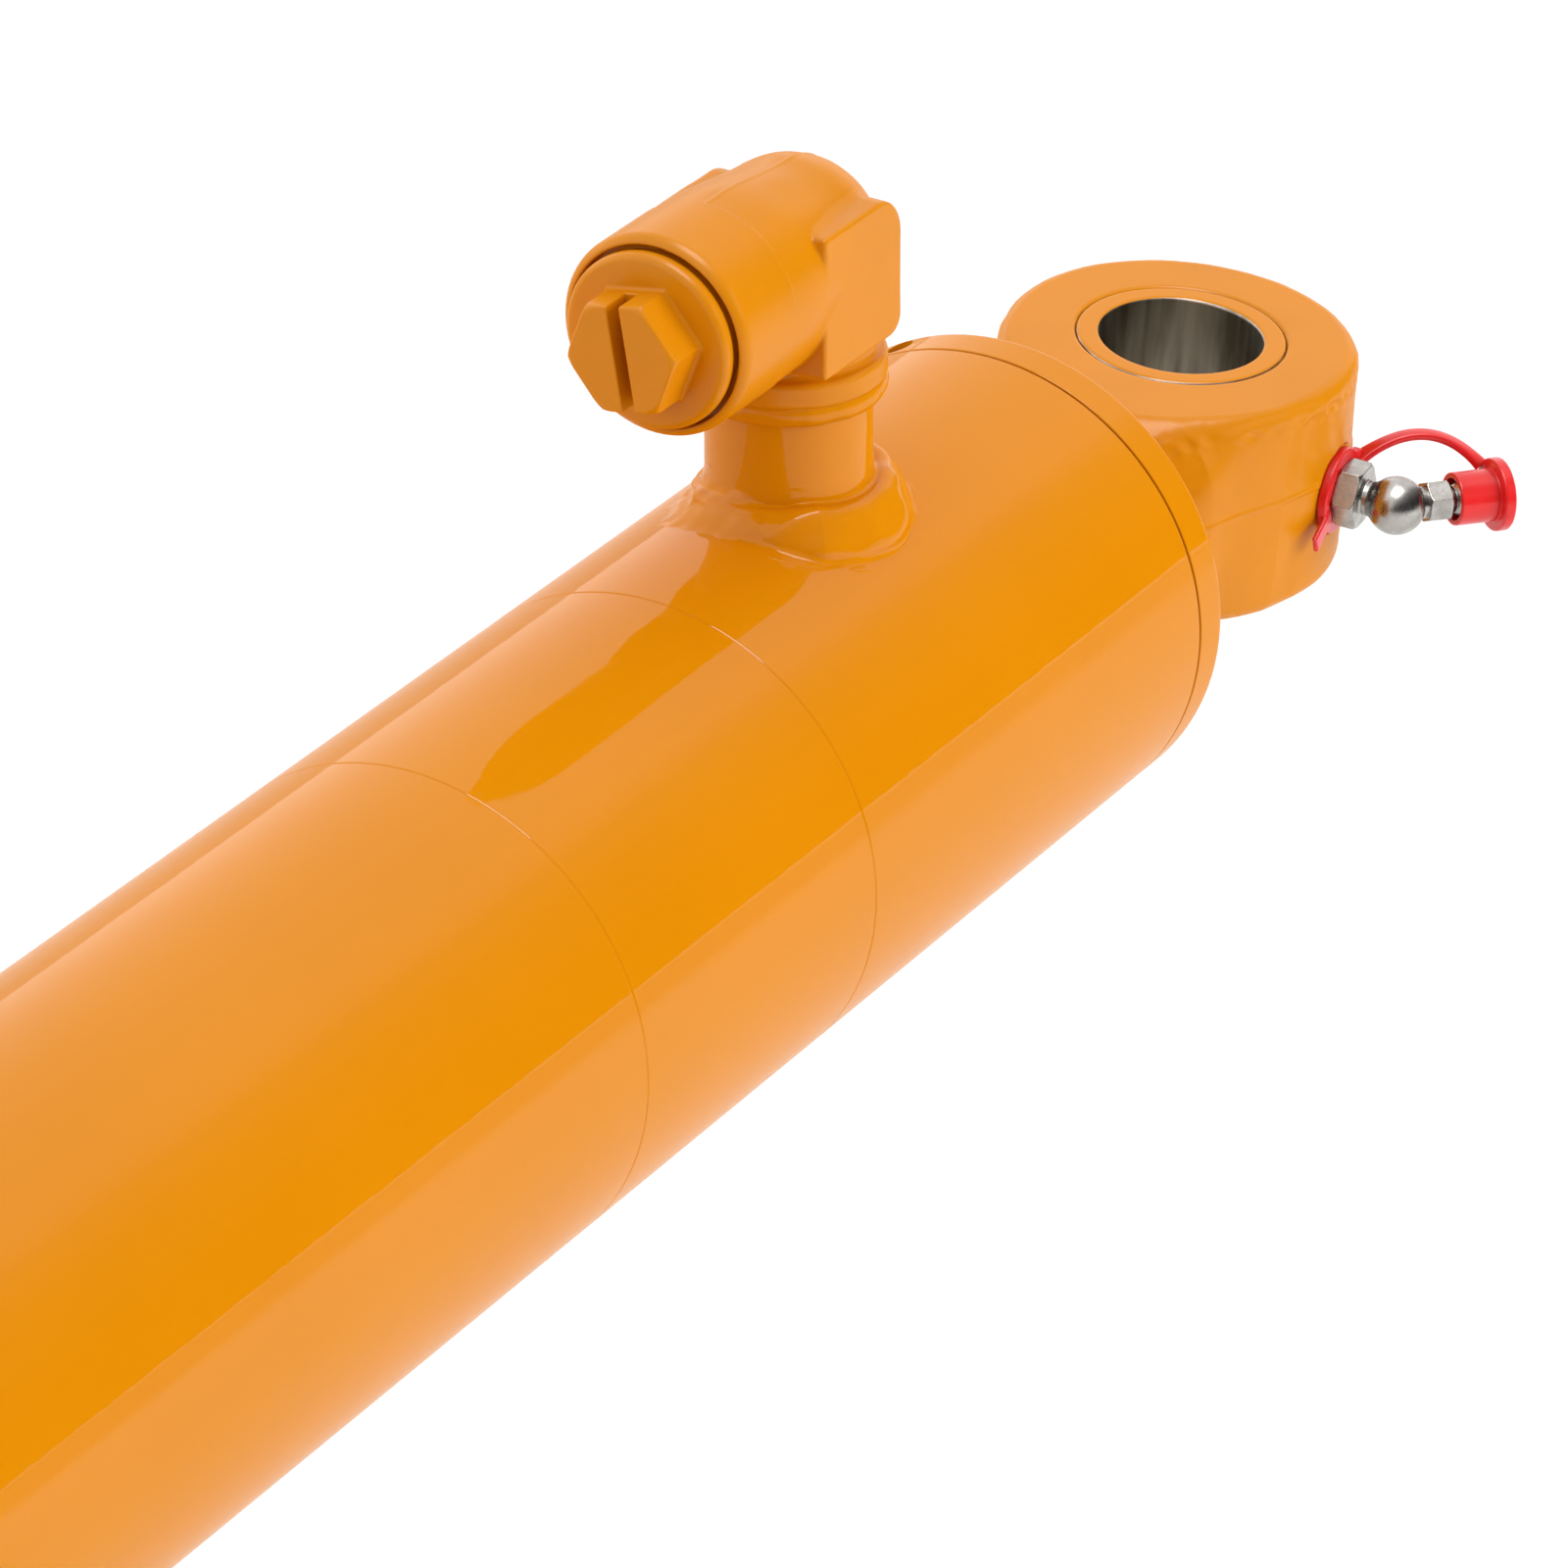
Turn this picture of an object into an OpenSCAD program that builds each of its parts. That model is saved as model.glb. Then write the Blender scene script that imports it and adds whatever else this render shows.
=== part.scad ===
// Double-acting hydraulic cylinder with a pin eye at each end, stored with its rod fully in.
// The origin is the centre of the base eye's bore. +X runs along the barrel to the rod eye,
// and +Z runs along both pin bores.

/* [Cylinder] */
// Travel of the rod
stroke = 455; // [300:5:700]
// Outer diameter of the barrel
barrel_d = 88; // [87:0.5:90]
// Bore of the barrel
bore_d = 70; // [69.5:0.1:70.5]
// Diameter of the rod
rod_d = 40; // [39:0.5:41]

/* [Pin eyes] */
// Diameter of each eye at its two flat faces
eye_d = 62; // [60:0.2:64]
// Diameter of each eye at its forging line, half way up
eye_mid_d = 66.2; // [64:0.2:68]
// Width of each eye between its two flat faces
eye_w = 42; // [38:0.5:44]
// Diameter of the pin bores
pin_d = 30; // [28:0.5:32]
// Outer diameter of the eye bushes
bush_d = 38.6; // [37:0.2:42]
// Rod eye centre to the gland's outer face, rod fully in
eye_reach = 62.5; // [60:0.5:80]

/* [Ports] */
// Angle of both ports about the barrel, from +Z towards +Y
port_clock = 4.8; // [0:0.2:30]
// Rod port to the gland's outer face
port_setback = 74.9; // [72:0.1:78]
// Outer diameter of the risers
riser_d = 28.5; // [26:0.5:30]
// Height of the port outlets above the barrel's axis
outlet_h = 90; // [86:0.5:96]
// Outlet face to the riser's axis
outlet_reach = 43.2; // [40:0.2:50]
// Outer diameter of the outlet boss
boss_d = 35.4; // [34:0.2:38]
// Width of each plug's hexagon across its flats
plug_hex = 18.5; // [17:0.5:20]

/* [Grease fittings] */
// Angle of each fitting round its eye, measured from the rod direction
nipple_clock = 84; // [80:1:100]
// Height of the fittings from the middle of the eye
nipple_z = -1.5; // [-3:0.5:3]

/* [Hidden] */
$fn = 72;
cut = 1;                 // how far a cutting shape runs past what it cuts
line_w = 0.4;            // width of the hairline joints in the barrel
line_deep = 0.2;         // depth of the hairline joints

barrel_r = barrel_d / 2;
bore_r = bore_d / 2;
rod_r = rod_d / 2;
eye_r = eye_d / 2;
eye_mid_r = eye_mid_d / 2;
foot_half = 33;          // half the width of the base eye's foot, where it meets the cap
foot_slope = 0.0875;
foot_half_t = eye_w / 2 - 1.5; // half its thickness: the eye's faces stand proud of it
pad_out = eye_mid_r + 0.2; // flat pad under the grease fitting
pin_r = pin_d / 2;
bush_r = bush_d / 2;
press_gap = 0.02;        // radial gap left where one part is pressed into another
run_gap = 0.05;          // radial gap of every running fit

// Places along X, from the base eye to the rod eye
cap_x = 40;              // back face of the base cap
cap_t = 22;
tube_x = cap_x + cap_t;  // where the barrel tube starts
spigot_x = tube_x + 13;  // front of the base cap's spigot
nut_x = spigot_x + 4;
nut_t = 22;
piston_x = nut_x + nut_t;
piston_t = 45;
nose_x = piston_x + piston_t + stroke + 2.5;   // inner end of the gland
gland_len = 84;
face_x = nose_x + gland_len;                   // outer face of the gland
rod_eye_x = face_x + eye_reach;
flange_t = 8.25;
flange_relief = 0.4;
head_x = face_x - 121.1;                       // joint between tube and barrel head
band_x = face_x - 193.2;                       // fine turned line round the tube
rod_port_x = face_x - port_setback;
base_port_x = spigot_x + 13;

// Gland: radii and depths, the depths counted inwards from its outer face
thread_r = 38;
thread_deep = 38;
nose_deep = 58;
nose_r = 29;
gland_bore_r = rod_r + 0.4;
wiper_r = 25;
wiper_deep = 6.5;
rod_seal_r = 25;
rod_seal_at = [14, 24];
buffer_r = 24.5;
buffer_at = [30, 37];
bushing_r = 22;
bushing_at = [52, 80];
oring_groove_r = 31.4;
oring_groove_at = [46, 53];
spanner_hole_r = 2.75;
spanner_clock = 31;

// Piston and what it carries
piston_r = bore_r - 0.4;
journal_r = 14;
seal_at = [17, 28];      // from the piston's rear face
seal_floor_r = 28;
wear_at = [[4, 12], [33, 41]];
wear_floor_r = 32.5;
nut_hex = 41;
nut_thread_r = 13.5;

// Port fittings
riser_r = riser_d / 2;
riser_top = 65;
oil_r = 6;               // drilling through the barrel wall
oilway_r = 7;            // drilling through riser and elbow
weld_leg = 6.2;
elbow_r = 16.2;
elbow_neck_r = 15;
pad_half = 16.6;
pad_low = 75;
pad_high = 100.5;
pad_back = -9.2;
pad_front = 16;
boss_start = 26.5;
boss_r = boss_d / 2;
plug_recess = 0.6;
plug_recess_r = 16.2;
plug_flange_r = 15.4;
plug_flange_t = 3.2;
plug_hex_t = 7.8;
plug_thread_r = 9.45;
slot_w = 3;

// Grease fittings: distances out from the eye's centre, then on from the ball's centre
seat_deep = 1.1;         // spot face sunk into the pad
ring_seat = pad_out - seat_deep;
ring_t = 1.8;
ring_r = 8;
ball_out = 44.6;
ball_r = 5.4;
fitting_bend = 45;
cap_start = 11.1;
cap_end = 21.1;
cap_r = 4.9;
cap_rim_r = 6.75;
cap_rim_t = 2.2;

// Strap of the grease cap: three points of one smooth arch, along [out, along, up]
strap_from = [34.75, 7, 3.9];
strap_peak = [43, 16.5, 12.5];
strap_to = [53.5, 17.5, 3.9];
strap_w = 2.8;
strap_t = 1.5;
strap_steps = 12;

paint = "orange";
steel = "silver";
chrome = "gainsboro";
seal_black = "dimgray";
seal_blue = "steelblue";
plastic_red = "red";

// ---------------------------------------------------------------- shared shapes

// Turns a profile of [radius, place along X] points round the X axis
module turned(points) {
    rotate([0, 90, 0]) rotate_extrude() polygon(points);
}

// A plain ring round the X axis from x0 to x1
module ring(x0, x1, r_out, r_in) {
    turned([[r_in, x0], [r_out, x0], [r_out, x1], [r_in, x1]]);
}

// A rod-like solid along X from x0 to x1
module bar(x0, x1, r) {
    translate([x0, 0, 0]) rotate([0, 90, 0]) cylinder(r = r, h = x1 - x0);
}

// A hexagonal bar along X, flats towards Z
module hex_bar(x0, x1, flats) {
    translate([x0, 0, 0]) rotate([0, 90, 0]) rotate([0, 0, 30])
        cylinder(d = flats / cos(30), h = x1 - x0, $fn = 6);
}

// An O-ring round the X axis
module oring(x, r_ring, r_section) {
    translate([x, 0, 0]) rotate([0, 90, 0])
        rotate_extrude() translate([r_ring, 0]) circle(r = r_section, $fn = 32);
}

// The barrel's outside, to cut what is welded onto it
module barrel_outside() {
    bar(cap_x, face_x, barrel_r);
}

// ---------------------------------------------------------------- barrel

module port_drilling(x) {
    translate([x, 0, 0]) rotate([-port_clock, 0, 0]) cylinder(r = oil_r, h = barrel_r + cut);
}

module hairline(x) {
    ring(x - line_w / 2, x + line_w / 2, barrel_r + cut, barrel_r - line_deep);
}

module barrel_tube() {
    color(paint) difference() {
        turned([
            [bore_r, tube_x], [barrel_r - 4, tube_x], [barrel_r, tube_x + 4],
            [barrel_r, head_x], [bore_r, head_x]
        ]);
        hairline(band_x);
        hairline(head_x);
        port_drilling(base_port_x);
    }
}

module barrel_head() {
    end_x = face_x - flange_t;
    color(paint) difference() {
        turned([
            [bore_r, head_x], [barrel_r, head_x], [barrel_r, end_x - 0.3],
            [barrel_r - 0.3, end_x], [thread_r, end_x], [thread_r, face_x - thread_deep],
            [bore_r, face_x - thread_deep]
        ]);
        hairline(head_x);
        port_drilling(rod_port_x);
    }
}

module base_cap() {
    spigot_r = bore_r - run_gap;
    color(paint) turned([
        [0, cap_x], [barrel_r - 1.5, cap_x], [barrel_r, cap_x + 1.5], [barrel_r, tube_x - 4],
        [barrel_r - 4, tube_x], [spigot_r, tube_x], [spigot_r, spigot_x - 1.5],
        [spigot_r - 1.5, spigot_x], [0, spigot_x]
    ]);
}

module base_cap_weld() {
    crown = 1.2;
    color(paint) turned([
        [barrel_r - 4, tube_x], [barrel_r, tube_x + 4], [barrel_r + crown * 0.7, tube_x + 2.5],
        [barrel_r + crown, tube_x], [barrel_r + crown * 0.7, tube_x - 2.5],
        [barrel_r, tube_x - 4]
    ]);
}

// ---------------------------------------------------------------- pin eyes

// Turns +X to the way a fitting points out of its eye, on the -Y side
module fitting_way(side) {
    rotate([0, 0, -90 + side * (90 - nipple_clock)]) children();
}

// The forged blank of an eye at the origin: drafted both ways from its middle, with a flat pad
module eye_blank(side) {
    pad_half_w = 9.5;
    pad_ledge = 3.5;
    pad_root = [eye_r * 0.75, eye_r * 0.55];
    for (up = [0, 1]) mirror([0, 0, up]) cylinder(r1 = eye_mid_r, r2 = eye_r, h = eye_w / 2);
    fitting_way(side) linear_extrude(eye_w - 2 * pad_ledge, center = true) polygon([
        [pad_out, -pad_half_w], [pad_out, pad_half_w], pad_root, [0, 0],
        [pad_root[0], -pad_root[1]]
    ]);
}

// Everything cut out of an eye at the origin
module eye_holes(side) {
    cylinder(r = bush_r, h = eye_w + 2 * cut, center = true);
    fitting_way(side) translate([0, 0, nipple_z]) {
        bar(ring_seat, eye_mid_r + 2, ring_r + 0.6);
        bar(ring_seat - 10, ring_seat + cut, 5);
        bar(0, ring_seat, 1.5);
    }
}

// The slab between the base eye and the base cap, widening by foot_slope towards the cap
module base_foot(past = 0) {
    end_half = foot_half + past * foot_slope;
    start_half = foot_half - cap_x * foot_slope;
    linear_extrude(2 * foot_half_t, center = true) polygon([
        [0, -start_half], [cap_x + past, -end_half], [cap_x + past, end_half], [0, start_half]
    ]);
}

module base_eye() {
    color(paint) difference() {
        union() {
            eye_blank(-1);
            base_foot();
        }
        eye_holes(-1);
    }
}

// The fillet weld runs as a frame round the base eye's foot
module base_eye_weld() {
    leg = 5;
    y_top = foot_half - leg * foot_slope;
    color(paint) difference() {
        intersection() {
            linear_extrude(barrel_d, center = true) polygon([
                [cap_x, -foot_half - leg], [cap_x, foot_half + leg],
                [cap_x - leg, y_top], [cap_x - leg, -y_top]
            ]);
            rotate([90, 0, 0]) linear_extrude(barrel_d, center = true) polygon([
                [cap_x, -foot_half_t - leg], [cap_x, foot_half_t + leg],
                [cap_x - leg, foot_half_t], [cap_x - leg, -foot_half_t]
            ]);
            bar(cap_x - 2 * leg, cap_x, barrel_r - 1.5);
        }
        base_foot(cut);
    }
}

module rod_eye() {
    neck_end = -44;
    neck_half = 23;
    neck_r = 20.8;
    waist = eye_r - 1;
    color(paint) translate([rod_eye_x, 0, 0]) difference() {
        union() {
            eye_blank(1);
            intersection() {
                linear_extrude(eye_w, center = true) polygon([
                    [0, -waist], [neck_end, -neck_half], [neck_end, neck_half], [0, waist]
                ]);
                turned([
                    [0, neck_end], [neck_r - 1.5, neck_end], [neck_r, neck_end + 1.5],
                    [neck_r, -38], [26.5, -31], [36, -11], [36, 0], [0, 0]
                ]);
            }
        }
        eye_holes(1);
    }
}

module rod_eye_weld() {
    joint_x = rod_eye_x - 44;
    color(paint) turned([
        [rod_r, joint_x - 4], [21, joint_x - 3], [21.8, joint_x - 1.2], [22, joint_x + 0.4],
        [21.6, joint_x + 1.9], [20.8, joint_x + 3], [20.8, joint_x + 1.5], [19.3, joint_x],
        [rod_r, joint_x]
    ]);
}

module eye_bush(x, side) {
    outer = bush_r - press_gap;
    half = eye_w / 2;
    color(steel) translate([x, 0, 0]) difference() {
        rotate_extrude() polygon([
            [pin_r, 0.8 - half], [pin_r + 0.8, -half], [outer - 0.5, -half],
            [outer, 0.5 - half], [outer, half - 0.5], [outer - 0.5, half],
            [pin_r + 0.8, half], [pin_r, half - 0.8]
        ]);
        fitting_way(side) translate([0, 0, nipple_z]) bar(0, bush_r + cut, 1.5);
    }
}

// ---------------------------------------------------------------- gland and its seals

// A depth inside the gland, as a place along X
function deep(d) = face_x - d;

module gland_pocket(at, r) {
    ring(deep(at[1]), deep(at[0]), r, gland_bore_r - cut);
}

module gland() {
    body_r = bore_r - run_gap;
    thread_fit = thread_r - run_gap;
    color(paint) difference() {
        turned([
            [gland_bore_r, deep(gland_len)], [nose_r - 1, deep(gland_len)],
            [nose_r, deep(gland_len - 1)], [nose_r, deep(nose_deep)],
            [body_r - 1, deep(nose_deep)], [body_r, deep(nose_deep - 1)],
            [body_r, deep(thread_deep)], [thread_fit - 1, deep(thread_deep)],
            [thread_fit, deep(thread_deep - 1)], [thread_fit, deep(flange_t)],
            [barrel_r - 1.5, deep(flange_t)], [barrel_r - 1.5, deep(flange_t - flange_relief)],
            [barrel_r, deep(flange_t - flange_relief)], [barrel_r, deep(0.8)],
            [barrel_r - 0.8, deep(0)], [gland_bore_r, deep(0)]
        ]);
        gland_pocket([-cut, wiper_deep], wiper_r);
        gland_pocket(rod_seal_at, rod_seal_r);
        gland_pocket(buffer_at, buffer_r);
        gland_pocket(bushing_at, bushing_r);
        ring(deep(oring_groove_at[1]), deep(oring_groove_at[0]), bore_r + cut, oring_groove_r);
        // Two blind holes in the rim for a pin spanner
        for (turn = [0, 180]) rotate([-spanner_clock - turn, 0, 0])
            translate([deep(flange_t / 2 - 0.1), 0, barrel_r - 6])
                cylinder(r = spanner_hole_r, h = 6 + cut);
        // Four notches let oil past the nose when the piston stands against it
        for (turn = [45 : 90 : 315]) rotate([turn, 0, 0])
            translate([deep(gland_len) - cut, -3, bushing_r + 1]) cube([cut + 2.5, 6, 10]);
    }
}

module gland_oring() {
    color(seal_black) oring(deep(51), 33.2, 1.72);
}

module gland_backup_ring() {
    color(chrome) ring(deep(48), deep(46.2), bore_r - run_gap, oring_groove_r + 0.1);
}

module rod_bushing() {
    color("peru") ring(deep(bushing_at[1] - 0.1), deep(bushing_at[0] + 0.1),
        bushing_r - press_gap, rod_r + run_gap);
}

// A U-shaped lip seal whose mouth opens towards the pressure
module lip_seal(at, r_out, tint) {
    heel = deep(at[0] + 0.2);
    mouth = deep(at[1] - 0.3);
    inner = rod_r + run_gap;
    outer = r_out - press_gap;
    wide = outer - inner;
    color(tint) turned([
        [inner + 0.3, heel], [outer, heel], [outer, mouth], [outer - wide * 0.28, mouth],
        [inner + wide * 0.5, mouth + wide * 0.7], [inner + wide * 0.28, mouth],
        [inner, mouth], [inner, mouth + wide * 0.6]
    ]);
}

module rod_seal() {
    lip_seal(rod_seal_at, rod_seal_r, seal_blue);
}

module buffer_seal() {
    lip_seal(buffer_at, buffer_r, "seagreen");
}

module wiper() {
    inner = rod_r + run_gap;
    color(seal_black) turned([
        [inner + 0.6, deep(wiper_deep - 0.1)], [wiper_r - press_gap, deep(wiper_deep - 0.1)],
        [wiper_r - press_gap, deep(0.6)], [22.6, deep(0.6)], [21.4, deep(-1.4)],
        [inner, deep(-1.4)], [inner + 0.6, deep(1)]
    ]);
}

// ---------------------------------------------------------------- rod and piston

module rod() {
    color(chrome) turned([
        [0, nut_x], [nut_thread_r - 1, nut_x], [nut_thread_r, nut_x + 1],
        [nut_thread_r, piston_x], [journal_r, piston_x], [journal_r, piston_x + piston_t],
        [rod_r - 1, piston_x + piston_t], [rod_r, piston_x + piston_t + 1.5],
        [rod_r, rod_eye_x - 44], [0, rod_eye_x - 44]
    ]);
}

// A groove round the piston, its ends counted from the piston's rear face
module piston_groove(at, floor_r) {
    ring(piston_x + at[0], piston_x + at[1], bore_r + cut, floor_r);
}

module piston() {
    inner = journal_r + press_gap;
    color("slategray") difference() {
        turned([
            [inner, piston_x], [piston_r - 2, piston_x], [piston_r, piston_x + 2],
            [piston_r, piston_x + piston_t - 2], [piston_r - 2, piston_x + piston_t],
            [inner, piston_x + piston_t]
        ]);
        piston_groove(seal_at, seal_floor_r);
        for (at = wear_at) piston_groove(at, wear_floor_r);
        ring(piston_x + 20.4, piston_x + 24.4, journal_r + 1.9, inner - cut);
    }
}

module piston_seal() {
    outer = bore_r - run_gap;
    x0 = piston_x + seal_at[0] + 0.3;
    x1 = piston_x + seal_at[1] - 0.3;
    color(seal_black) turned([
        [32, x0], [outer - 1, x0], [outer, x0 + 1], [outer, x1 - 1], [outer - 1, x1], [32, x1]
    ]);
}

module seal_energizer() {
    mid = (seal_floor_r + 32) / 2;
    color("black") oring(piston_x + (seal_at[0] + seal_at[1]) / 2, mid, mid - seal_floor_r - 0.1);
}

// Two split guide strips
module wear_rings() {
    gap = 2;
    color("saddlebrown") for (at = wear_at) difference() {
        ring(piston_x + at[0] + 0.1, piston_x + at[1] - 0.1, bore_r - run_gap,
            wear_floor_r + run_gap);
        translate([piston_x + at[0], -gap / 2, 0]) cube([at[1] - at[0], gap, barrel_r]);
    }
}

module piston_oring() {
    color(seal_black) oring(piston_x + 22.4, journal_r + 0.97, 0.92);
}

module piston_nut() {
    corner_r = nut_hex / 2 / cos(30);
    color(steel) difference() {
        intersection() {
            hex_bar(nut_x, piston_x, nut_hex);
            turned([
                [0, nut_x], [corner_r - 2.4, nut_x], [corner_r, nut_x + 1.4],
                [corner_r, piston_x - 1.4], [corner_r - 2.4, piston_x], [0, piston_x]
            ]);
        }
        bar(nut_x - cut, piston_x + cut, nut_thread_r + press_gap);
        translate([nut_x + nut_t / 2, 0, 0]) cylinder(r = 3 + press_gap, h = nut_hex);
    }
}

module nut_set_screw() {
    top = nut_hex / 2 - 0.3;
    color("dimgray") translate([nut_x + nut_t / 2, 0, 0]) difference() {
        translate([0, 0, nut_thread_r + 0.1]) cylinder(r = 3, h = top - nut_thread_r - 0.1);
        translate([0, 0, top - 2.5]) cylinder(d = 3 / cos(30), h = 2.5 + cut, $fn = 6);
    }
}

// ---------------------------------------------------------------- ports

// A port's frame: Z up the riser from the barrel's axis, its outlet towards +X when turn is 0
module port_frame(x, turn) {
    translate([x, 0, 0]) rotate([-port_clock, 0, 0]) rotate([0, 0, turn]) children();
}

module port_riser(x, turn) {
    color(paint) difference() {
        port_frame(x, turn) difference() {
            translate([0, 0, 30]) cylinder(r = riser_r, h = riser_top - 30);
            cylinder(r = oilway_r, h = riser_top + cut);
        }
        barrel_outside();
    }
}

module port_weld(x, turn) {
    toe_r = riser_r + weld_leg;
    color(paint) difference() {
        port_frame(x, turn) rotate_extrude() polygon([
            [riser_r, 36], [toe_r + 2.2, 36], [toe_r + 0.9, 41.5], [toe_r - 0.6, 44.6],
            [toe_r - 2.6, 46.4], [riser_r + 2.2, 49.2], [riser_r, 50.4]
        ]);
        barrel_outside();
    }
}

module port_collar_weld(x, turn) {
    color(paint) port_frame(x, turn) rotate_extrude() polygon([
        [riser_r, riser_top - 3.2], [riser_r + 1.9, riser_top - 2.6],
        [riser_r + 2.7, riser_top - 1.2], [riser_r + 2.7, riser_top + 1.2],
        [riser_r + 1.9, riser_top + 2.6], [riser_r, riser_top + 3]
    ]);
}

// Outline of a wrench pad in its own plane, with two rounded corners at the back
module pad_outline() {
    top_r = 7.6;
    low_r = 3.5;
    translate([pad_back + top_r, pad_low]) square([pad_front - pad_back - top_r, pad_high - pad_low]);
    translate([pad_back, pad_low + low_r]) square([top_r, pad_high - pad_low - low_r - top_r]);
    translate([pad_back + low_r, pad_low]) square([top_r, low_r * 2]);
    translate([pad_back + top_r, pad_high - top_r]) circle(r = top_r);
    translate([pad_back + low_r, pad_low + low_r]) circle(r = low_r);
}

module port_elbow(x, turn) {
    color(paint) port_frame(x, turn) difference() {
        union() {
            translate([0, 0, riser_top]) cylinder(r = riser_r, h = 4);
            translate([0, 0, riser_top + 3]) cylinder(r = elbow_r, h = 4);
            translate([0, 0, riser_top + 4]) cylinder(r = elbow_neck_r, h = outlet_h - riser_top - 4);
            translate([0, 0, outlet_h]) sphere(r = elbow_r);
            translate([0, 0, outlet_h]) bar(0, boss_start + 1, elbow_r);
            translate([0, 0, outlet_h]) turned([
                [0, boss_start], [boss_r - 0.4, boss_start], [boss_r, boss_start + 0.6],
                [boss_r, outlet_reach - 1.2], [boss_r - 1.2, outlet_reach], [0, outlet_reach]
            ]);
            rotate([90, 0, 0]) linear_extrude(2 * pad_half, center = true) pad_outline();
        }
        translate([0, 0, riser_top - cut]) cylinder(r = oilway_r, h = outlet_h - riser_top + cut);
        translate([0, 0, outlet_h]) {
            sphere(r = oilway_r);
            bar(0, outlet_reach, oilway_r);
            bar(outlet_reach - 16, outlet_reach, plug_thread_r + run_gap);
            bar(outlet_reach - plug_recess, outlet_reach + cut, plug_recess_r);
            bar(outlet_reach - plug_recess - 2.5, outlet_reach, 11.6);
        }
    }
}

// The plug closes the outlet: a flanged hexagon with a screwdriver slot across two flats
module port_plug(x, turn, slot_turn) {
    seat = outlet_reach - plug_recess;
    top = seat + plug_flange_t;
    end = top + plug_hex_t;
    corner_r = plug_hex / 2 / cos(30);
    color(paint) port_frame(x, turn) translate([0, 0, outlet_h]) rotate([slot_turn, 0, 0])
        difference() {
            union() {
                turned([
                    [0, seat - 13], [plug_thread_r - 1, seat - 13], [plug_thread_r, seat - 12],
                    [plug_thread_r, seat - 3], [8.4, seat - 2.6], [8.4, seat],
                    [plug_flange_r, seat], [plug_flange_r, top - 1], [plug_flange_r - 1, top],
                    [0, top]
                ]);
                intersection() {
                    hex_bar(top - cut, end, plug_hex);
                    turned([
                        [0, top - cut], [corner_r, top - cut], [corner_r, end - 1.6],
                        [corner_r - 1.6, end], [0, end]
                    ]);
                }
            }
            translate([end - 3.6, -slot_w / 2, -plug_flange_r])
                cube([3.6 + cut, slot_w, 2 * plug_flange_r]);
        }
}

module port_plug_oring(x, turn) {
    color(seal_black) port_frame(x, turn) translate([0, 0, outlet_h])
        oring(outlet_reach - plug_recess - 1.2, 10, 1.15);
}

// ---------------------------------------------------------------- grease fittings

// A fitting's frame: +X straight out of the eye, +Y the way the fitting bends, +Z up.
// The base eye's fitting is the rod eye's mirrored.
module fitting_frame(x, side) {
    translate([x, 0, nipple_z]) mirror([side < 0 ? 1 : 0, 0, 0])
        rotate([0, 0, -nipple_clock]) children();
}

// On from the ball, along the bent end
module bent() {
    translate([ball_out, 0, 0]) rotate([0, 0, fitting_bend]) children();
}

module grease_adaptor(x, side) {
    hex_start = ring_seat + ring_t;
    hex_t = 4.4;
    color(steel) fitting_frame(x, side) difference() {
        union() {
            bar(ring_seat - 9, hex_start + 1, 4.95);
            intersection() {
                hex_bar(hex_start, hex_start + hex_t, 11);
                turned([
                    [0, hex_start], [6.6, hex_start], [6.6, hex_start + hex_t - 0.8],
                    [5.2, hex_start + hex_t], [0, hex_start + hex_t]
                ]);
            }
            bar(hex_start, ball_out, 3.2);
            translate([ball_out, 0, 0]) sphere(r = ball_r);
        }
        bar(ring_seat - 10, ball_out, 1);
        bent() {
            bar(0, ball_r, 1);
            bar(1.6, ball_r + cut, 3);
        }
    }
}

module grease_nipple(x, side) {
    color(steel) fitting_frame(x, side) bent() difference() {
        union() {
            bar(2, 6, 2.95);
            rotate([30, 0, 0]) hex_bar(5.5, 9.9, 7);
            turned([
                [0, 9.5], [2.6, 9.5], [2.4, 11.2], [3.25, 12], [3.25, 13.2], [2.3, 15.4],
                [1.5, 16.6], [0, 16.6]
            ]);
        }
        bar(0, 18, 0.8);
    }
}

module grease_ring(x, side) {
    tab_start = pad_out + 0.15;
    color(plastic_red) fitting_frame(x, side) difference() {
        union() {
            bar(ring_seat, ring_seat + ring_t, ring_r);
            // Pull tab, opposite the strap
            rotate([27, 0, 0]) translate([tab_start, -13, -1.7])
                cube([ring_seat + ring_t + 0.4 - tab_start, 7, 3.4]);
        }
        bar(ring_seat - cut, ring_seat + ring_t + cut, 5.05);
    }
}

// A point on the strap's arch, t from 0 to 1
function arch(t) = (1 - t) * (1 - t) * strap_from + 2 * t * (1 - t) * strap_peak + t * t * strap_to;
function arch_way(t) = 2 * (1 - t) * (strap_peak - strap_from) + 2 * t * (strap_to - strap_peak);
function unit(v) = v / norm(v);

// The four corners of the strap's section at t, its width lying level
function strap_corners(t) =
    let (way = unit(arch_way(t)), flat = unit(cross(way, [0, 0, 1])), up = cross(flat, way))
    [for (c = [[-1, -1], [1, -1], [1, 1], [-1, 1]])
        arch(t) + flat * c[0] * strap_w / 2 + up * c[1] * strap_t / 2];

module grease_strap(x, side) {
    points = [for (i = [0 : strap_steps]) each strap_corners(i / strap_steps)];
    last = 4 * strap_steps;
    color(plastic_red) fitting_frame(x, side) polyhedron(points, concat(
        [[0, 1, 2, 3]],
        [for (i = [0 : strap_steps - 1]) for (k = [0 : 3])
            [4 * i + k, 4 * i + 4 + k, 4 * i + 4 + (k + 1) % 4, 4 * i + (k + 1) % 4]],
        [[last + 3, last + 2, last + 1, last]]
    ));
}

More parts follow.
